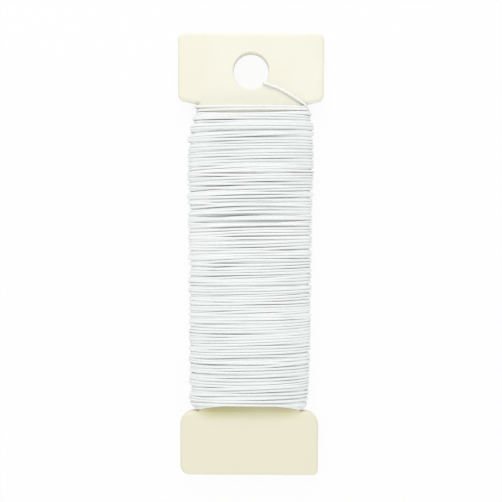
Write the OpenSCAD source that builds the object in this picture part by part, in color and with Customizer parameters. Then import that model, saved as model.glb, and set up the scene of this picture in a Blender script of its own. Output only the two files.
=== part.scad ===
// Paddle of binding wire: one flat moulded paddle with a narrow neck, and one long
// coated wire wound round that neck, with its start led across the upper tab to the hole.
// The paddle lies flat, in millimetres, +Z up and its length along Y. The origin is on the
// surface that the winding lies on, under the middle of the paddle.

/* [Paddle] */
// Overall length of the paddle
paddle_l = 120; // [95:1:180]
// Thickness of the moulded sheet
paddle_t = 3; // [2:0.1:4]
// Rounding along every edge of the sheet
edge_r = 1; // [0.3:0.1:1.2]
// Width of the neck under the wire
neck_w = 28; // [22:0.5:30]

/* [Upper tab] */
// Width of the tab with the hole
upper_tab_w = 39; // [36:0.5:50]
// Length of its straight sides, corners included
upper_tab_l = 18; // [15:0.5:30]
// Radius of its two end corners
upper_corner_r = 1.8; // [1.2:0.1:4]
// Radius of its two corners beside the neck
shoulder_r = 1.8; // [1.2:0.1:4]
// Length over which it slopes in to the neck
shoulder_l = 1; // [0.8:0.1:4]

/* [Hang hole] */
// Diameter of the hole
hole_d = 9.5; // [4:0.1:11]
// From the upper end of the paddle to the middle of the hole
hole_inset = 10; // [8:0.1:12]
// Rounding of the rim of the hole, front and back
rim_r = 0.4; // [0.2:0.05:0.7]

/* [Lower tab] */
// Width of the plain tab
lower_tab_w = 38; // [36:0.5:50]
// Length of the plain tab
lower_tab_l = 18; // [10:0.5:30]
// Radius of its two corners beside the neck
lower_neck_r = 4; // [1.2:0.1:5]
// Radius of its left end corner
lower_left_r = 2.7; // [1.2:0.1:5]
// Radius of its right end corner
lower_right_r = 1.4; // [1.2:0.1:5]

/* [Winding] */
// Diameter of the coated wire
wire_d = 0.7; // [0.5:0.05:0.8]
// Height of the winding, from its flat underside to its crown
winding_h = 10; // [9:0.1:16]
// Width of the winding near the upper tab
winding_upper_w = 33.8; // [32:0.1:35]
// Width of the winding near the lower tab
winding_lower_w = 33.4; // [32:0.1:35]
// Length over which the winding falls away towards the upper tab
upper_taper_l = 3.5; // [2:0.1:8]
// Length over which the winding falls away towards the lower tab
lower_taper_l = 4.5; // [2:0.1:8]
// Loops in the outer layer
loops = 24; // [12:1:24]
// How square the winding's section is: 2 is an ellipse
squareness = 2.3; // [2:0.1:3]
// Depth of the inner turns round the neck at their two ends
end_wall = 0.85; // [0.85:0.05:1.2]

/* [Clearances] */
// Between the neck and the inner turns
core_gap = 0.15; // [0.05:0.05:0.3]
// Between the inner turns and the outer layer
turn_gap = 0.2; // [0.2:0.05:0.4]
// Between the winding and each tab, past the wire that passes there
end_gap = 0.2; // [0.1:0.05:0.4]

/* [Hidden] */

plastic = [0.96, 0.95, 0.88];
enamel = [0.93, 0.94, 0.94];
enamel_inside = [0.86, 0.87, 0.87];

corner_fn = 32;                          // facets round a corner of the sheet
edge_steps = 4;                          // facets in a quarter of its rounded edge
bore_fn = 96;                            // a true circle
through = 1;                             // how far a cut passes the surface it cuts

stations = 24;                           // rings in one loop, and flats on the inner turns
taper_rows = 6;                          // rows of flats in each tapering end
wire_sides = 6;                          // sides of the wire in the outer layer
tail_sides = 8;                          // sides of the wire that lies free

wire_r = wire_d / 2;
wire_flat = wire_r * cos(180 / wire_sides);    // from the wire's middle to one of its flats
floor_cut = wire_d / 10;                       // the wire is flat by this where it rests
neck_top = paddle_l / 2 - upper_tab_l - shoulder_l;
neck_bottom = lower_tab_l - paddle_l / 2;
hole_y = paddle_l / 2 - hole_inset;

// The winding leaves room for the wire that comes down between it and the upper tab.
winding_top = neck_top - wire_d - end_gap;
winding_bottom = neck_bottom + end_gap;
mid_z = (winding_h - floor_cut) / 2;           // height of the paddle's middle plane

// Half width and half height of the loops' middle line, at their ends and in between
loop_full_b = (winding_h + floor_cut) / 2 - wire_flat;
loop_upper_a = winding_upper_w / 2 - wire_flat;
loop_lower_a = winding_lower_w / 2 - wire_flat;
core_inset = wire_flat + turn_gap;             // from the loops' middle line to the inner turns
loop_end_a = neck_w / 2 + core_gap + end_wall + core_inset;
loop_end_b = paddle_t / 2 + core_gap + end_wall + core_inset;

// The start of the wire. Its first points are chosen from where it crosses the rim of the
// hole, and its last from the upper corner of the neck, both on the sheet's front face. It
// comes up over the rim, runs straight across the tab, bends down past the corner of the
// neck and goes into the end of the winding.
rim_turn = -43;                          // where it crosses the rim, from the hole's middle
rim_points = [[-0.20, 0.20, 0.10], [0.20, -0.10, 0.40], [0.90, -0.35, 0.48], [1.90, -0.85, 0.45]];
corner_points = [
    [-1.20, 0.70, 0.40], [-0.30, 0.25, 0.32], [0.40, -0.05, 0.05], [0.75, -0.22, -0.30],
    [0.78, -0.42, -0.60], [0.72, -0.62, -0.75], [0.72, -0.90, -0.75]
];
straight_parts = 6;                      // lengths of the straight run, 2 to 3 diameters each

function unit(v) = v / norm(v);

// Direction into point i of a path, and out of it
function way_in(path, i) = unit(path[max(i, 1)] - path[max(i, 1) - 1]);
function way_out(path, i) = let (k = min(i, len(path) - 2)) unit(path[k + 1] - path[k]);

// Ring of a tube at point i of a path. It lies in the plane that halves the bend there, so
// the tube keeps its thickness, and one flat faces across the path and the given direction.
function ring(path, i, r, sides, level) =
    let (
        along = way_in(path, i),
        halving = unit(along + way_out(path, i)),
        across = unit(cross(along, level)),
        up = cross(across, along)
    )
    [for (k = [0 : sides - 1])
        let (
            turn = (k + 0.5) * 360 / sides,
            spoke = r * (cos(turn) * across + sin(turn) * up)
        )
        path[i] + spoke - along * (spoke * halving) / (along * halving)];

function tube(path, r, sides, level) =
    [for (i = [0 : len(path) - 1]) ring(path, i, r, sides, level)];

// The start of the wire's middle line, with heights from the sheet's middle plane
function tail_route() =
    let (
        face = paddle_t / 2,
        rim = [hole_d / 2 * cos(rim_turn), hole_y + hole_d / 2 * sin(rim_turn), face],
        from_rim = [for (p = rim_points) rim + p],
        to_corner = [for (p = corner_points) [neck_w / 2, neck_top, face] + p],
        a = from_rim[len(from_rim) - 1],
        b = to_corner[0]
    )
    concat(from_rim, [for (k = [1 : straight_parts - 1]) a + (b - a) * k / straight_parts], to_corner);

// Closed solid through rings that have the same number of points, all faces triangles
module skin(rings) {
    n = len(rings[0]);
    last = (len(rings) - 1) * n;
    polyhedron(
        points = [for (r = rings) each r],
        faces = concat(
            [for (i = [0 : len(rings) - 2], j = [0 : n - 1])
                let (a = i * n + j, b = i * n + (j + 1) % n) each [[a, b, b + n], [a, b + n, a + n]]],
            [for (j = [1 : n - 2]) [0, j + 1, j]],
            [for (j = [1 : n - 2]) [last, last + j, last + j + 1]]
        )
    );
}

// Superellipse through the stations, one unit to its flat sides. The stations straddle the
// crown and the underside, so that a flat lies there.
function power(v) = sign(v) * pow(abs(v), 2 / squareness);
flat_reach = power(cos(180 / stations));
function station(k) =
    let (turn = (k + 0.5) * 360 / stations) [power(cos(turn)), power(sin(turn))] / flat_reach;

// How full the winding is at y: 0 at its two ends, 1 between the tapers
function fullness(y) =
    let (
        up = max(0, 1 - (winding_top - y) / upper_taper_l),
        down = max(0, 1 - (y - winding_bottom) / lower_taper_l)
    )
    sqrt(max(0, 1 - pow(max(up, down), 2)));
function loop_a(y) =
    let (share = (y - winding_bottom) / (winding_top - winding_bottom))
    let (full = loop_lower_a + share * (loop_upper_a - loop_lower_a))
    loop_end_a + fullness(y) * (full - loop_end_a);
function loop_b(y) = loop_end_b + fullness(y) * (loop_full_b - loop_end_b);

// Point of the winding at station k and length y, so far in from the loops' middle line
function on_winding(k, y, inset) =
    let (s = station(k)) [(loop_a(y) - inset) * s.x, y, (loop_b(y) - inset) * s.y];

// The outer layer's middle line: one helix that rises to the right across the front, with a
// straight run of one diameter at each end
first_y = winding_top - wire_r;
last_y = winding_bottom + wire_r;
helix = [for (k = [0 : loops * stations])
    on_winding(k, first_y + (last_y - first_y) * k / (loops * stations), 0)];
helix_end = len(helix) - 1;
outer_route = concat(
    [helix[0] - wire_d * way_out(helix, 0)],
    helix,
    [helix[helix_end] + wire_d * way_in(helix, helix_end)]
);

// Least gap of the wire to itself, measured from each point to the loop that follows
loop_gap = min([for (i = [0 : helix_end - stations / 2],
    j = [i + stations / 2 : min(helix_end, i + 3 * stations / 2)]) norm(helix[i] - helix[j])]) - wire_d;
echo(least_gap_of_outer_turns = loop_gap);

// Round button with a rounded edge, a corner of the sheet
module corner(x, y, r) {
    e = min(edge_r, paddle_t / 2, r);
    translate([x, y, 0])
        rotate_extrude($fn = corner_fn)
            polygon(concat(
                [[0, -paddle_t / 2]],
                [for (k = [0 : edge_steps]) let (turn = 90 * k / edge_steps - 90)
                    [r - e + e * cos(turn), -paddle_t / 2 + e + e * sin(turn)]],
                [for (k = [0 : edge_steps]) let (turn = 90 * k / edge_steps)
                    [r - e + e * cos(turn), paddle_t / 2 - e + e * sin(turn)]],
                [[0, paddle_t / 2]]
            ));
}

// Rounds one rim of the hole: what is taken lies between the wall, the face and an arc
module rim_cut() {
    rotate_extrude($fn = bore_fn)
        difference() {
            translate([hole_d / 2 - through, paddle_t / 2 - rim_r])
                square([through + rim_r, rim_r + through]);
            translate([hole_d / 2 + rim_r, paddle_t / 2 - rim_r])
                circle(r = rim_r, $fn = bore_fn);
        }
}

module upper_tab() {
    hull() {
        for (side = [-1, 1]) {
            corner(side * (upper_tab_w / 2 - upper_corner_r), paddle_l / 2 - upper_corner_r, upper_corner_r);
            corner(side * (upper_tab_w / 2 - shoulder_r), neck_top + shoulder_l + shoulder_r, shoulder_r);
            corner(side * (neck_w / 2 - edge_r), neck_top + edge_r, edge_r);
        }
    }
}

module neck() {
    hull()
        for (side = [-1, 1], y = [neck_bottom - lower_neck_r, neck_top + shoulder_l])
            corner(side * (neck_w / 2 - edge_r), y, edge_r);
}

module lower_tab() {
    hull() {
        for (side = [-1, 1])
            corner(side * (lower_tab_w / 2 - lower_neck_r), neck_bottom - lower_neck_r, lower_neck_r);
        corner(lower_left_r - lower_tab_w / 2, lower_left_r - paddle_l / 2, lower_left_r);
        corner(lower_tab_w / 2 - lower_right_r, lower_right_r - paddle_l / 2, lower_right_r);
    }
}

module paddle() {
    color(plastic)
        translate([0, 0, mid_z])
            difference() {
                union() {
                    upper_tab();
                    neck();
                    lower_tab();
                }
                translate([0, hole_y, 0]) {
                    cylinder(d = hole_d, h = paddle_t + 2 * through, center = true, $fn = bore_fn);
                    rim_cut();
                    mirror([0, 0, 1]) rim_cut();
                }
            }
}

// The layers under the outer one, as one solid sleeve round the neck
module inner_turns() {
    rows = concat(
        [for (k = [0 : taper_rows]) winding_bottom + lower_taper_l * (1 - cos(90 * k / taper_rows))],
        [for (k = [taper_rows : -1 : 0]) winding_top - upper_taper_l * (1 - cos(90 * k / taper_rows))]
    );
    color(enamel_inside)
        translate([0, 0, mid_z])
            difference() {
                skin([for (y = rows) [for (k = [0 : stations - 1]) on_winding(k, y, core_inset)]]);
                cube([neck_w + 2 * core_gap, paddle_l, paddle_t + 2 * core_gap], center = true);
            }
}

// The outer layer of the winding, one unbroken wire, cut flat where it rests
module outer_turns() {
    round_rings = tube(outer_route, wire_r, wire_sides, [0, 1, 0]);
    color(enamel)
        translate([0, 0, mid_z])
            skin([for (r = round_rings) [for (p = r) [p.x, p.y, max(p.z, -mid_z)]]]);
}

// The start of the wire, held at the hole and at the winding
module wire_tail() {
    color(enamel)
        translate([0, 0, mid_z])
            skin(tube(tail_route(), wire_r, tail_sides, [0, 0, 1]));
}

paddle();
inner_turns();
outer_turns();
wire_tail();
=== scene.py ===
import math

import bpy
import numpy as np
from mathutils import Matrix, Vector


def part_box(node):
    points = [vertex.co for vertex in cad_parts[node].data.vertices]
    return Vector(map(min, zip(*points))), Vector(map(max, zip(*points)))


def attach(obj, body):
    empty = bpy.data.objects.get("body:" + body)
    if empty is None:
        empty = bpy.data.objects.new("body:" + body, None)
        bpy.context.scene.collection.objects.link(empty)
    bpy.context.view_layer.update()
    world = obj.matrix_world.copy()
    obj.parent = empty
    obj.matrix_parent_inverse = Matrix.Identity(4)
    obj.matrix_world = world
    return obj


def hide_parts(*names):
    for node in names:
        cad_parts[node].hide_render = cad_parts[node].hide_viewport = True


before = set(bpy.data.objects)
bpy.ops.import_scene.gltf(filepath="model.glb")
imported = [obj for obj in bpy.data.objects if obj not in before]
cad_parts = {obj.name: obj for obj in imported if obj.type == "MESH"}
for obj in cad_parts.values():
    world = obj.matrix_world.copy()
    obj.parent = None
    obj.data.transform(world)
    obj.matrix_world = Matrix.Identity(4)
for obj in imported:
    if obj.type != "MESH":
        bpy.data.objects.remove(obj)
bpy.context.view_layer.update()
mm = 0.001

# Sizes that several pieces share, taken from the frame where it holds them
sheetLow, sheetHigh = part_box("paddle")
middle = (sheetHigh.z + sheetLow.z) / 2        # height of the sheet's middle plane
sheet = {
    "half": (sheetHigh.z - sheetLow.z) / 2,
    "edgeRadius": 1 * mm,
    "neckHalf": 14 * mm,
    "neckTop": 41 * mm,
    "neckBottom": -42 * mm,
    "holeY": 50 * mm,
    "holeRadius": 4.75 * mm,
}
wireRadius = 0.35 * mm


camera = {
    "height": 179.2 * mm,          # above the front face of the paddle
    "alongY": 12.36 * mm,          # the point straight below the lens
    "alongX": 0.24 * mm,
    "tilt": math.radians(3.303),   # off the vertical, towards the lower tab
    "roll": math.radians(0.29),
    "lens": 47.7,
    "sensor": 36,
    "clip": (0.01, 10),
}


def makeCamera():
    # looks straight down with the hang hole's end up, tipped back by the tilt, turned by the roll
    data = bpy.data.cameras.new("camera")
    data.lens = camera["lens"]
    data.sensor_width = camera["sensor"]
    data.clip_start, data.clip_end = camera["clip"]
    obj = bpy.data.objects.new("camera", data)
    bpy.context.scene.collection.objects.link(obj)
    tilt, roll = camera["tilt"], camera["roll"]
    ahead = Vector((0, -math.sin(tilt), -math.cos(tilt)))
    right = Vector((1, 0, 0))
    up = right.cross(ahead)
    turnedRight = math.cos(roll) * right + math.sin(roll) * up
    turnedUp = math.cos(roll) * up - math.sin(roll) * right
    place = Matrix((turnedRight, turnedUp, -ahead)).transposed().to_4x4()
    place.translation = (camera["alongX"], camera["alongY"], sheetHigh.z + camera["height"])
    obj.matrix_world = place
    bpy.context.scene.camera = obj


makeCamera()
print("camera ready")


laying = {
    "seed": 16,
    "stations": 64,                # points in one turn
    "firstTurns": [                # mm along the neck at the left edge, front, right edge, back
        (40.50, 40.50, 40.15, 40.35),          # its second half only, from the tail on
        (40.42, 40.50, 40.45, 40.10),
        (39.45, 39.78, 39.88, 39.20),
        (38.70, 38.60, 39.20, 38.60),          # leaves a little of the neck bare above it
        (38.10, 38.55, 38.75, 38.10),          # climbs over the one before it
    ],
    "slack": 0.35 * mm,            # the tail stands off the right edge by this
    "slackFade": 4,                # and comes down to it over about this many stations
    "pitch": [0.74, 0.76, 0.78, 0.80, 0.86],   # mm from turn to turn, one for each layer
    "wander": [0.08, 0.11, 0.14, 0.17, 0.21],  # mm that a turn strays from its place
    "edgeWander": 0.9,             # the share of it at the two edges
    "top": [37.3, 38.0, 37.2, 35.7, 35.3],     # mm, where each layer turns back
    "crown": [-39.7, -39.6, -39.3, -39.1, -39.1],      # its last turn at the front and the back
    "bottom": [-41.62, -41.55, -40.9, -40.15, -40.1],  # and at the two edges
    "lean": 1.0 * mm,              # how far a turn rises across the front
    "leanFade": (2.5 * mm, 2.5 * mm),          # the turns level out this near the two tabs
    "leanAtTop": [0, 0, 0, 1, 1],  # the share of it that the top turn of each layer keeps
    "archFade": 2.6 * mm,          # the turns above the last ones straighten over this length
    "archPower": (0.65, 1.4),      # roundness of the last turns, and of the others
    "bend": 0.15 * mm,             # the turns near the upper tab bend towards it by this
    "bendFrom": 20 * mm,           # the full bend is reached here along the neck
    "search": 0.30 * mm,           # a turn rolls this far to find a hollow
    "pull": 0.35,                  # and is drawn back to its place by this much height per length
    "climb": 0.10 * mm,            # the most that the wire drops from one point to the next
    "ahead": 10,                   # stations of the next turn that the wire also feels
    "halfSection": (15.5 * mm, 4 * mm),        # a middling turn, for the lengths between stations
    "cell": 0.05 * mm,             # grid of the height field
}

winding = {
    "bow": 0.25 * mm,              # the first turns stand off the flat of the neck
    "clear": 0.04 * mm,            # and off its edges
    "squareness": 2.3,             # of the outer section
    "placesAlong": [-42, -10, 10, 22, 41],     # mm along the neck
    "halfWidths": [16.75, 16.85, 17.05, 17.25, 17.0],    # mm, half the winding's width there
    "halfHeight": middle - 0.015 * mm,
    "levelShare": 75,              # percent of the last layer's points that lie below depth 1
    "softFrom": 0.88,              # past this depth the wire is drawn in towards depth 1
    "smoothing": (3, 1),           # stations: of that level round the section, and of the path
}


def sectionShares(turn):
    # a superellipse one unit out to its flat sides: turn 0 is the left edge, 0.25 the front
    angle = 2 * np.pi * turn
    c, s = -np.cos(angle), np.sin(angle)
    power = 2 / winding["squareness"]
    return np.sign(c) * np.abs(c) ** power, np.sign(s) * np.abs(s) ** power


def layWire():
    # Turn after turn goes on in order. A height field holds, for each station of the section and
    # each place along the neck, the lowest height at which a new wire lies on those before it.
    # Each turn seeks the nearest hollow, and drops from a crossing only as fast as a taut wire can.
    rng = np.random.default_rng(laying["seed"])
    n, d, cell = laying["stations"], 2 * wireRadius, laying["cell"]
    half = n // 2
    turnAt = (np.arange(n) + 0.5) / n
    ux, uz = sectionShares(turnAt)
    px, pz = laying["halfSection"][0] * ux, laying["halfSection"][1] * uz
    step = np.hypot(np.roll(px, -1) - px, np.roll(pz, -1) - pz)[:half]
    share = (np.cumsum(step) - step / 2) / step.sum()

    yLow = sheet["neckBottom"] - 2 * d
    cells = int((sheet["neckTop"] + 2 * d - yLow) / cell) + 1
    field = np.zeros((n, cells))
    around = np.arange(-int(d / cell), int(d / cell) + 1)
    rows = np.arange(n)

    def heightAt(station, y):
        k = np.clip(np.rint((y - yLow) / cell).astype(int), 0, cells - 1)
        return field[station, k]

    def settle(station, wanted):
        # the place within reach where height plus pull times distance is least
        tries = wanted + np.arange(-laying["search"], laying["search"] + cell / 2, cell)
        cost = heightAt(station, tries) + laying["pull"] * np.abs(tries - wanted)
        return tries[np.argmin(cost)]

    # where each turn crosses the left edge, the front, the right edge and the back, how round it
    # runs between them, and its layer
    lastPower, usualPower = laying["archPower"]
    marks = [(*[place * mm for place in turn], usualPower, 0) for turn in laying["firstTurns"]]
    for layer, pitch in enumerate(laying["pitch"]):
        high, crown, low = (laying[end][layer] * mm for end in ("top", "crown", "bottom"))
        places = np.linspace(high, crown, int(round((high - crown) / (pitch * mm))) + 1)
        if layer % 2:
            places = places[::-1]
        stray = rng.normal(0, laying["wander"][layer] * mm, (len(places), 4))
        stray[:, 0] = stray[:, 0] * laying["edgeWander"]
        stray[:, 2] = stray[:, 2] * laying["edgeWander"]
        near = np.exp(-(places - crown) / laying["archFade"])      # 1 at the last turn, 0 far above
        arch = (crown - low) * near
        upper, lower = laying["leanFade"]
        edge = places - arch
        kept = laying["leanAtTop"][layer]
        level = np.minimum(kept + (high - edge) / upper, (edge - low) / lower)
        lean = laying["lean"] * np.clip(level, 0, 1)
        bend = laying["bend"] * np.clip(places / laying["bendFrom"], 0, 1)
        left = np.clip(edge - lean / 2 + stray[:, 0], low, high)
        front = np.clip(places + bend + stray[:, 1], crown, high + bend)
        right = np.clip(edge + lean / 2 + stray[:, 2], low, high + kept * laying["lean"] / 2)
        back = np.clip(places + stray[:, 3], crown, high)
        power = usualPower + (lastPower - usualPower) * near
        marks += [(*five, layer) for five in zip(left, front, right, back, power)]

    ahead = laying["ahead"]
    every = np.arange(-ahead, n + ahead)
    drop = np.abs(every[:, None] - every[None, :]) * laying["climb"]
    before = np.zeros(ahead)
    wave = np.sin(np.pi * share)
    ys, heights, layers = [], [], []
    left = marks[0][0]
    for k, (_, front, right, back, power, layer) in enumerate(marks):
        later = marks[min(k + 1, len(marks) - 1)][0]
        if k >= len(laying["firstTurns"]):
            front = settle(n // 4, front)
            right = settle(half, right)
            back = settle(3 * n // 4, back)
            later = settle(0, later)
        # straight from edge to edge, plus a half sine wave to its power, as high as the hollow
        # found midway asks
        y = np.concatenate([
            left + (right - left) * share + (front - (left + right) / 2) * wave ** power,
            right + (later - right) * share + (back - (later + right) / 2) * wave ** power,
        ])
        rest = heightAt(rows, y)
        restNext = heightAt(rows[:ahead], later + (right - left) * share[:ahead])
        felt = np.concatenate([before, rest, restNext])
        raised = (felt[None, :] - drop).max(1)[ahead:ahead + n]
        if k == 0:
            past = np.maximum(rows - half + 1, 0)
            raised = np.maximum(raised, laying["slack"] * np.exp(-past / laying["slackFade"]))
        ys.append(y)
        heights.append(raised)
        layers.append(layer)
        before = raised[-ahead:]
        # what comes later lies on this turn: two round wires touch a diameter apart
        at = np.rint((y - yLow) / cell).astype(int)[:, None] + around[None, :]
        off = at * cell + yLow - y[:, None]
        lift = raised[:, None] + np.sqrt(np.maximum(d * d - off * off, 0))
        lift[np.abs(off) > d] = 0
        at = np.clip(at, 0, cells - 1)
        field[rows[:, None], at] = np.maximum(field[rows[:, None], at], lift)
        left = later
    return np.array(ys), np.array(heights), np.array(layers)


def smoothed(values, reach):
    # running mean with a bell-shaped weight, out to three times its reach, the ends held
    at = np.arange(-3 * reach, 3 * reach + 1)
    weight = np.exp(-0.5 * (at / reach) ** 2)
    padded = np.pad(values, 3 * reach, mode="edge")
    return np.convolve(padded, weight / weight.sum(), mode="valid")


def placeWire(ys, heights, layers):
    # Depth 0 is the wire on the bare neck, a rounded rectangle; depth 1 is the outermost wire, the
    # superellipse of the whole winding. Each point lies on the line between the two.
    n = laying["stations"]
    ux, uz = sectionShares((np.arange(n) + 0.5) / n)
    ux = ux / np.abs(ux).max()
    clear = wireRadius + winding["clear"]
    innerA, innerB = sheet["neckHalf"] + clear, sheet["half"] + clear
    corner = sheet["edgeRadius"] + clear
    innerX = innerA * ux
    past = np.clip(np.abs(innerX) - (innerA - corner), 0, corner)
    innerZ = np.sign(uz) * (innerB - corner + np.sqrt(np.maximum(corner ** 2 - past ** 2, 0)))
    innerZ = innerZ + np.sign(uz) * winding["bow"] * np.clip(1 - (innerX / innerA) ** 2, 0, 1)

    # how high the last layer lies at each station, taken round the section without a seam
    levelReach, pathReach = winding["smoothing"]
    top = np.percentile(heights[layers == layers.max()], winding["levelShare"], axis=0)
    top = smoothed(np.tile(top, 3), levelReach)[n:2 * n]
    y = smoothed(ys.ravel(), pathReach)
    deep = smoothed((heights / top).ravel(), pathReach)
    soft = winding["softFrom"]
    deep = np.where(deep > soft, soft + (1 - soft) * np.tanh((deep - soft) / (1 - soft)), deep)

    outerA = np.interp(y / mm, winding["placesAlong"], winding["halfWidths"]) * mm - wireRadius
    turns = len(ys)
    outerX = np.tile(ux, turns) * outerA
    outerZ = np.tile(uz, turns) * (winding["halfHeight"] - wireRadius)
    x = (1 - deep) * np.tile(innerX, turns) + deep * outerX
    z = (1 - deep) * np.tile(innerZ, turns) + deep * outerZ
    return np.stack([x, y, middle + z], axis=1)


def unit(v):
    return v / np.linalg.norm(v, axis=-1, keepdims=True)


dome = {
    "height": 0.45,                # of the nose past the wire's end, as shares of its radius
    "brimHeight": 0.28,
    "brimRadius": 0.72,
}


def tubeAlong(path, radius, sides, guide):
    # A circle of the given radius is carried along the path, turned so that one side keeps facing
    # across the guide direction, and a low dome closes each end.
    tangent = unit(np.gradient(path, axis=0))
    across = unit(np.cross(tangent, np.asarray(guide, float)))
    other = np.cross(tangent, across)
    angle = 2 * np.pi * np.arange(sides) / sides
    c, s = np.cos(angle)[None, :, None], np.sin(angle)[None, :, None]
    ring = c * across[:, None, :] + s * other[:, None, :]
    verts = path[:, None, :] + radius * ring
    noses, brims = [], []
    for end, way in ((0, -1), (-1, 1)):
        out = way * tangent[end] * radius
        noses.append(path[end] + out * dome["height"])
        brims.append(path[end] + out * dome["brimHeight"] + ring[end] * radius * dome["brimRadius"])
    count = len(path)
    rows = np.concatenate([brims[0][None], verts, brims[1][None]])
    points = np.concatenate([rows.reshape(-1, 3), noses[0][None], noses[1][None]])
    i = np.arange(count + 1)[:, None] * sides
    j = np.arange(sides)[None, :]
    k = (j + 1) % sides
    quads = np.stack([i + j, i + sides + j, i + sides + k, i + k], axis=-1).reshape(-1, 4)
    firstNose = (count + 2) * sides
    j, k = j.ravel(), k.ravel()
    low = np.stack([np.full(sides, firstNose), j, k], axis=-1)
    last = (count + 1) * sides
    high = np.stack([np.full(sides, firstNose + 1), last + k, last + j], axis=-1)
    return points, quads, np.concatenate([low, high])


def makeMesh(name, points, quads, tris, tones):
    # one object from whole arrays of points and faces, with a tone for each point
    mesh = bpy.data.meshes.new(name)
    loops = np.concatenate([quads.ravel(), tris.ravel()]).astype(np.int32)
    sizes = np.concatenate([np.full(len(quads), 4), np.full(len(tris), 3)]).astype(np.int32)
    starts = np.concatenate([[0], np.cumsum(sizes)[:-1]]).astype(np.int32)
    mesh.vertices.add(len(points))
    mesh.vertices.foreach_set("co", points.astype(np.float32).ravel())
    mesh.loops.add(len(loops))
    mesh.loops.foreach_set("vertex_index", loops)
    mesh.polygons.add(len(sizes))
    mesh.polygons.foreach_set("loop_start", starts)
    mesh.update(calc_edges=True)
    mesh.validate()
    mesh.polygons.foreach_set("use_smooth", np.ones(len(sizes), dtype=bool))
    layer = mesh.attributes.new("tone", "FLOAT", "POINT")
    layer.data.foreach_set("value", tones.astype(np.float32))
    obj = bpy.data.objects.new(name, mesh)
    bpy.context.scene.collection.objects.link(obj)
    return obj


ys, heights, layers = layWire()
path = placeWire(ys, heights, layers)
tailEnd = laying["stations"] // 2 - 1          # the path's point where the tail arrives
length = np.linalg.norm(np.diff(path[tailEnd:], axis=0), axis=1).sum()
print("wire laid:", len(ys), "turns,", round(float(length), 2), "m")


pieces = {
    "outerFrom": 3,                # the first layer that is drawn with all its stations
    "outerSides": 8,
    "innerSides": 6,
    "innerEvery": 2,               # of the stations, in the layers below it
    "tailSides": 16,
    "guide": (0, 1, 0),            # along the neck
    "toneSeed": 21,
    "toneReach": 24,               # stations over which the wire's tone drifts
}


def makeWinding():
    # One tube along the whole path, cut in two pieces where the outer layers start. It begins where
    # the tail arrives and ends at the back. The tone is smoothed noise.
    n = laying["stations"]
    rng = np.random.default_rng(pieces["toneSeed"])
    tone = smoothed(rng.normal(0, 1, len(path)), pieces["toneReach"])
    tone = tone / tone.std()
    split = int(np.argmax(layers >= pieces["outerFrom"])) * n
    inner = np.arange(tailEnd, split + 1, pieces["innerEvery"])
    outer = np.arange(inner[-1], len(path) - n // 4)
    made = []
    for name, picked, sides in (
        ("wireInnerLayers", inner, pieces["innerSides"]),
        ("wireOuterLayers", outer, pieces["outerSides"]),
    ):
        points, quads, tris = tubeAlong(path[picked], wireRadius, sides, pieces["guide"])
        tones = np.repeat(tone[picked[[0, *range(len(picked)), -1]]], sides)
        tones = np.concatenate([tones, [0, 0]])
        made.append(makeMesh(name, points, quads, tris, tones))
    return made


# The wire's start: hooked over the front rim of the hang hole, straight across the tab to the
# corner of the neck, and round the neck's edge into the first turn. Heights are from the middle plane.
tail = {
    "rimTurn": math.radians(-43),
    "rimPoints": [(-0.20, 0.20, 0.10), (0.20, -0.10, 0.38), (0.90, -0.32, 0.43), (1.90, -0.75, 0.38)],
    "cornerPoints": [(-1.20, 1.20, 0.37), (-0.30, 0.62, 0.33), (0.45, 0.20, 0.12), (0.78, -0.10, -0.30),
                     (0.78, -0.42, -0.60)],
    "bulge": 0.33 * mm,            # the straight stretch bends this far away from the winding
    "bulgePower": 0.65,            # under 1, the bend is most near the hole
    "bulgeSteps": 6,
    "guide": (0.47, 0.88, 0),      # across the straight stretch
    "step": 0.25 * mm,
}


def throughPoints(knots, step):
    # a smooth curve through the knots: on each stretch a cubic whose ends follow the neighbours
    knots = np.asarray(knots, float)
    padded = np.concatenate([[2 * knots[0] - knots[1]], knots, [2 * knots[-1] - knots[-2]]])
    runs = []
    for a, b, c, d in zip(padded[:-3], padded[1:-2], padded[2:-1], padded[3:]):
        count = max(2, int(np.linalg.norm(c - b) / step))
        t = (np.arange(count) / count)[:, None]
        runs.append(0.5 * (2 * b + (c - a) * t + (2 * a - 5 * b + 4 * c - d) * t ** 2
                           + (3 * b - a - 3 * c + d) * t ** 3))
    return np.concatenate(runs + [knots[-1:]])


def makeTail():
    # the knots at the rim, then points on the straight stretch, moved aside by a sine of the share
    # of the way to its power, then the knots at the corner and the first turn's own points
    rim = np.array([
        sheet["holeRadius"] * math.cos(tail["rimTurn"]),
        sheet["holeY"] + sheet["holeRadius"] * math.sin(tail["rimTurn"]),
        sheet["half"],
    ])
    corner = np.array([sheet["neckHalf"], sheet["neckTop"], sheet["half"]])
    knots = [rim + np.array(p) * mm for p in tail["rimPoints"]]
    atCorner = [corner + np.array(p) * mm for p in tail["cornerPoints"]]
    start, run = knots[-1], atCorner[0] - knots[-1]
    aside = tail["bulge"] * unit(np.array([-run[1], run[0], 0]))
    steps = tail["bulgeSteps"]
    for k in range(1, steps):
        rise = math.sin(math.pi * (k / steps) ** tail["bulgePower"])
        knots.append(start + run * k / steps + aside * rise)
    knots += atCorner
    knots = [k + np.array([0, 0, middle]) for k in knots]
    knots += list(path[tailEnd:tailEnd + 2])
    points = throughPoints(knots, tail["step"])
    points, quads, tris = tubeAlong(points, wireRadius, pieces["tailSides"], tail["guide"])
    return makeMesh("wireTail", points, quads, tris, np.zeros(len(points)))


innerWire, outerWire = makeWinding()
tailWire = makeTail()
faceCounts = [len(piece.data.polygons) for piece in (innerWire, outerWire, tailWire)]
print("wire pieces made:", *faceCounts, "faces")


def linear(r, g, b):
    # colours are written as they look, 0 to 255
    values = np.array([r, g, b]) / 255
    lin = np.where(values <= 0.04045, values / 12.92, ((values + 0.055) / 1.055) ** 2.4)
    return (*lin.tolist(), 1)


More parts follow.
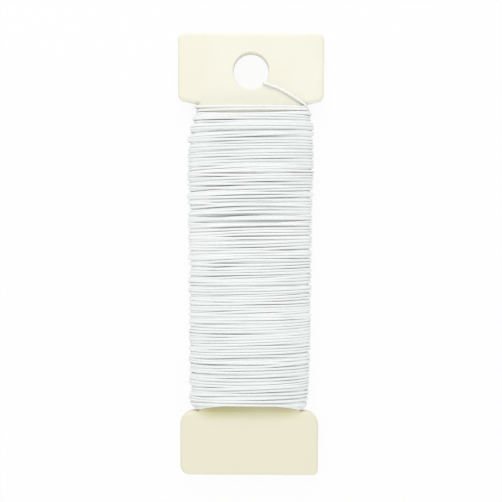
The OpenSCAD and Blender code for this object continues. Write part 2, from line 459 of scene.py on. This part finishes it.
def stepOver(nodes, links, value, low, high, shares=(0, 1), smooth=True):
    # the first share up to low, the second from high on, and a step between, smooth or straight
    step = nodes.new("ShaderNodeMapRange")
    step.interpolation_type = "SMOOTHSTEP" if smooth else "LINEAR"
    step.inputs["From Min"].default_value = low
    step.inputs["From Max"].default_value = high
    step.inputs["To Min"].default_value = shares[0]
    step.inputs["To Max"].default_value = shares[1]
    links.new(value, step.inputs["Value"])
    return step.outputs["Result"]


def calculated(nodes, links, operation, first, second=None):
    # one operation on two values; the second is a number or another node's output
    node = nodes.new("ShaderNodeMath")
    node.operation = operation
    links.new(first, node.inputs[0])
    if isinstance(second, (int, float)):
        node.inputs[1].default_value = second
    elif second is not None:
        links.new(second, node.inputs[1])
    return node.outputs[0]


def blended(nodes, links, share, first, second):
    # the first colour at share 0, the second at 1; each is a colour or another node's output
    mix = nodes.new("ShaderNodeMix")
    mix.data_type = "RGBA"
    links.new(share, mix.inputs["Factor"])
    for socket, color in (("A", first), ("B", second)):
        if isinstance(color, tuple):
            mix.inputs[socket].default_value = linear(*color)
        else:
            links.new(color, mix.inputs[socket])
    return mix.outputs["Result"]


fineNoise = {
    "patchDetail": 3,
    "patchEdges": (0.35, 0.65),    # none of the second colour below, all of it above
    "grainDetail": 2,
}


def newSocket(group, name, inOut, kind, value=None):
    socket = group.interface.new_socket(name=name, in_out=inOut, socket_type=kind)
    if value is not None:
        socket.default_value = value
    return socket


def fineSurfaceGroup():
    # Unevenness of two sizes: broad soft patches that shift the colour towards a second one and
    # the roughness up, and a fine grain for the bump.
    group = bpy.data.node_groups.new("fineSurface", "ShaderNodeTree")
    newSocket(group, "Vector", "INPUT", "NodeSocketVector")
    newSocket(group, "Color", "INPUT", "NodeSocketColor", (0.9, 0.9, 0.9, 1))
    newSocket(group, "Second Color", "INPUT", "NodeSocketColor", (0.8, 0.8, 0.8, 1))
    newSocket(group, "Patch Scale", "INPUT", "NodeSocketFloat", 60)
    newSocket(group, "Grain Scale", "INPUT", "NodeSocketFloat", 3000)
    newSocket(group, "Patches", "INPUT", "NodeSocketFloat", 0.5)
    newSocket(group, "Roughness", "INPUT", "NodeSocketFloat", 0.4)
    newSocket(group, "Roughness Spread", "INPUT", "NodeSocketFloat", 0.1)
    newSocket(group, "Color", "OUTPUT", "NodeSocketColor")
    newSocket(group, "Roughness", "OUTPUT", "NodeSocketFloat")
    newSocket(group, "Height", "OUTPUT", "NodeSocketFloat")
    nodes, links = group.nodes, group.links
    given = nodes.new("NodeGroupInput")
    out = nodes.new("NodeGroupOutput")
    patch = nodes.new("ShaderNodeTexNoise")
    patch.inputs["Detail"].default_value = fineNoise["patchDetail"]
    grain = nodes.new("ShaderNodeTexNoise")
    grain.inputs["Detail"].default_value = fineNoise["grainDetail"]
    for texture, scale in ((patch, "Patch Scale"), (grain, "Grain Scale")):
        links.new(given.outputs["Vector"], texture.inputs["Vector"])
        links.new(given.outputs[scale], texture.inputs["Scale"])
    share = stepOver(nodes, links, patch.outputs["Fac"], *fineNoise["patchEdges"], smooth=False)
    amount = calculated(nodes, links, "MULTIPLY", share, given.outputs["Patches"])
    color = blended(nodes, links, amount, given.outputs["Color"], given.outputs["Second Color"])
    links.new(color, out.inputs["Color"])
    rough = nodes.new("ShaderNodeMath")
    rough.operation = "MULTIPLY_ADD"
    links.new(share, rough.inputs[0])
    links.new(given.outputs["Roughness Spread"], rough.inputs[1])
    links.new(given.outputs["Roughness"], rough.inputs[2])
    links.new(rough.outputs[0], out.inputs["Roughness"])
    links.new(grain.outputs["Fac"], out.inputs["Height"])
    return group


fineSurface = fineSurfaceGroup()


def newMaterial(name):
    material = bpy.data.materials.new(name)
    material.use_nodes = True
    nodes, links = material.node_tree.nodes, material.node_tree.links
    return material, nodes, links, nodes["Principled BSDF"]


def finishSurface(nodes, links, shader, place, color, finish):
    # the colour goes through the fine surface's patches, and its grain becomes the bump
    surface = nodes.new("ShaderNodeGroup")
    surface.node_tree = fineSurface
    surface.inputs["Second Color"].default_value = linear(*finish["patchColor"])
    surface.inputs["Patch Scale"].default_value = finish["patchScale"]
    surface.inputs["Grain Scale"].default_value = finish["grainScale"]
    surface.inputs["Patches"].default_value = finish["patches"]
    surface.inputs["Roughness"].default_value = finish["roughness"]
    surface.inputs["Roughness Spread"].default_value = finish["roughnessSpread"]
    links.new(place, surface.inputs["Vector"])
    links.new(color, surface.inputs["Color"])
    links.new(surface.outputs["Color"], shader.inputs["Base Color"])
    links.new(surface.outputs["Roughness"], shader.inputs["Roughness"])
    bump = nodes.new("ShaderNodeBump")
    bump.inputs["Strength"].default_value = finish["grainStrength"]
    bump.inputs["Distance"].default_value = finish["grainDepth"]
    links.new(surface.outputs["Height"], bump.inputs["Height"])
    links.new(bump.outputs["Normal"], shader.inputs["Normal"])


paddleFinish = {
    "upperColor": (249, 247, 232),   # paler towards the hang hole: painted light, standing in for the lamps' falloff along the paddle
    "shadedLowerColor": (240, 236, 212),
    "fade": (-55 * mm, 50 * mm),     # along the paddle, from the lower colour to the upper one: painted shade, darker and yellower towards the lower tab
    "patchColor": (239, 235, 212),
    "patches": 0.35,                 # how much of the patch colour shows
    "patchScale": 55,
    "roughness": 0.50,
    "roughnessSpread": 0.10,
    "gloss": 0.3,
    "grainScale": 4200,
    "grainStrength": 0.35,
    "grainDepth": 0.04 * mm,
    "warmColor": (216, 213, 160),    # painted shade: the winding's shadow, darker and yellower, where the lower tab meets it
    "warmShare": 0.85,
    "warmReach": 3.0 * mm,
    "deepColor": (186, 166, 110),    # painted shade, darker still right under the last turns
    "deepShare": 0.32,
    "deepReach": 0.4 * mm,
    "paintedShadeWidth": (10 * mm, 16 * mm),          # both painted shades fade out between these, on either side
}


def paddleMaterial():
    material, nodes, links, shader = newMaterial("ivoryPlastic")
    place = nodes.new("ShaderNodeTexCoord").outputs["Object"]
    parts = nodes.new("ShaderNodeSeparateXYZ")
    links.new(place, parts.inputs["Vector"])
    along = parts.outputs["Y"]
    # painted shade: darker and yellower towards the lower tab, the lamps' falloff drawn into the colour
    paintedFalloffShare = stepOver(nodes, links, along, *paddleFinish["fade"])
    color = blended(nodes, links, paintedFalloffShare, paddleFinish["shadedLowerColor"], paddleFinish["upperColor"])
    aside = calculated(nodes, links, "ABSOLUTE", parts.outputs["X"])
    inside = stepOver(nodes, links, aside, *paddleFinish["paintedShadeWidth"], shares=(1, 0))
    lower = calculated(nodes, links, "LESS_THAN", along, 0)
    within = calculated(nodes, links, "MULTIPLY", inside, lower)
    # painted shade: the winding's contact shadow on the lower tab, laid into the colour as two bands
    for paintedShadeBand in ("warm", "deep"):
        end = sheet["neckBottom"]
        start = end - paddleFinish[paintedShadeBand + "Reach"]
        near = stepOver(nodes, links, along, start, end, shares=(0, paddleFinish[paintedShadeBand + "Share"]))
        share = calculated(nodes, links, "MULTIPLY", near, within)
        color = blended(nodes, links, share, color, paddleFinish[paintedShadeBand + "Color"])
    finishSurface(nodes, links, shader, place, color, paddleFinish)
    shader.inputs["Specular IOR Level"].default_value = paddleFinish["gloss"]
    return material


wireFinish = {
    "color": (250, 252, 251),
    "shadedLowerColor": (243, 246, 245),   # painted shade: a touch greyer towards the lower tab
    "fade": (-45 * mm, 0),           # along the winding, from the lower colour to the other
    "patchColor": (245, 248, 247),   # the wire's tone drifts towards this as well
    "toneRange": (-1.5, 1.5),
    "patches": 0.5,
    "patchScale": 240,
    "roughness": 0.30,
    "roughnessSpread": 0.12,
    "grainScale": 5200,
    "grainStrength": 0.2,
    "grainDepth": 0.02 * mm,
    "coat": 0.25,
    "coatRoughness": 0.15,
}


def wireMaterial():
    material, nodes, links, shader = newMaterial("whiteEnamel")
    place = nodes.new("ShaderNodeTexCoord").outputs["Object"]
    parts = nodes.new("ShaderNodeSeparateXYZ")
    links.new(place, parts.inputs["Vector"])
    # painted shade: the white enamel drawn greyer towards the lower tab
    fade = stepOver(nodes, links, parts.outputs["Y"], *wireFinish["fade"])
    base = blended(nodes, links, fade, wireFinish["shadedLowerColor"], wireFinish["color"])
    tone = nodes.new("ShaderNodeAttribute")
    tone.attribute_name = "tone"
    drift = stepOver(nodes, links, tone.outputs["Fac"], *wireFinish["toneRange"], smooth=False)
    color = blended(nodes, links, drift, base, wireFinish["patchColor"])
    finishSurface(nodes, links, shader, place, color, wireFinish)
    shader.inputs["Coat Weight"].default_value = wireFinish["coat"]
    shader.inputs["Coat Roughness"].default_value = wireFinish["coatRoughness"]
    return material


def giveMaterial(obj, material):
    if obj.material_slots:
        for slot in obj.material_slots:
            slot.material = material
    else:
        obj.data.materials.append(material)


enamel = wireMaterial()
for piece in (innerWire, outerWire, tailWire):
    giveMaterial(piece, enamel)
    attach(piece, "root")
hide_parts("inner_turns")
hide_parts("outer_turns")
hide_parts("wire_tail")

paddleObject = bpy.data.objects["paddle"]
giveMaterial(paddleObject, paddleMaterial())
print("materials given")


studio = {
    "floorSize": 3,
    "floorColor": (246, 246, 246),
    "floorRoughness": 0.9,
    "floorGloss": 0.1,
    "backgroundShare": 0.92,         # white's share of what the camera sees of the floor
    "worldStrength": 0.66,
    "keyPower": 3.6,
    "keySize": 0.75,
    "keyPlace": (-0.06, 0.65, 0.63),
    "fillPower": 2.4,
    "fillSize": 0.5,
    "fillPlace": (0.05, -1.00, 0.38),
}


def makeFloor():
    # Seen straight or in a reflection, most of the floor is plain white; the rest is lit and
    # keeps the shadow.
    mesh = bpy.data.meshes.new("floor")
    size = studio["floorSize"] / 2
    corners = [(-size, -size, 0), (size, -size, 0), (size, size, 0), (-size, size, 0)]
    mesh.from_pydata(corners, [], [(0, 1, 2, 3)])
    floor = bpy.data.objects.new("floor", mesh)
    bpy.context.scene.collection.objects.link(floor)
    material, nodes, links, shader = newMaterial("paleFloor")
    shader.inputs["Base Color"].default_value = linear(*studio["floorColor"])
    shader.inputs["Roughness"].default_value = studio["floorRoughness"]
    shader.inputs["Specular IOR Level"].default_value = studio["floorGloss"]
    white = nodes.new("ShaderNodeEmission")
    white.inputs["Strength"].default_value = 1
    rays = nodes.new("ShaderNodeLightPath")
    cameraRay, glossyRay = rays.outputs["Is Camera Ray"], rays.outputs["Is Glossy Ray"]
    seen = calculated(nodes, links, "MAXIMUM", cameraRay, glossyRay)
    mix = nodes.new("ShaderNodeMixShader")
    links.new(calculated(nodes, links, "MULTIPLY", seen, studio["backgroundShare"]), mix.inputs["Fac"])
    links.new(shader.outputs["BSDF"], mix.inputs[1])
    links.new(white.outputs["Emission"], mix.inputs[2])
    links.new(mix.outputs["Shader"], nodes["Material Output"].inputs["Surface"])
    floor.data.materials.append(material)


def makeLights():
    # The sky is white to the camera and dimmer as a light; two square lamps aim at the origin.
    world = bpy.data.worlds.new("studio")
    bpy.context.scene.world = world
    world.use_nodes = True
    nodes, links = world.node_tree.nodes, world.node_tree.links
    background = nodes["Background"]
    background.inputs["Color"].default_value = (1, 1, 1, 1)
    rays = nodes.new("ShaderNodeLightPath")
    shares = (studio["worldStrength"], 1)
    strength = stepOver(nodes, links, rays.outputs["Is Camera Ray"], 0, 1, shares, smooth=False)
    links.new(strength, background.inputs["Strength"])
    for name in ("key", "fill"):
        light = bpy.data.lights.new(name, "AREA")
        light.shape = "SQUARE"
        light.size = studio[name + "Size"]
        light.energy = studio[name + "Power"]
        lamp = bpy.data.objects.new(name, light)
        bpy.context.scene.collection.objects.link(lamp)
        lamp.location = studio[name + "Place"]
        aim = Vector((0, 0, 0)) - Vector(studio[name + "Place"])
        lamp.rotation_euler = aim.to_track_quat("-Z", "Y").to_euler()


makeFloor()
makeLights()
bpy.context.scene.view_settings.view_transform = "Standard"
print("floor and lights ready")
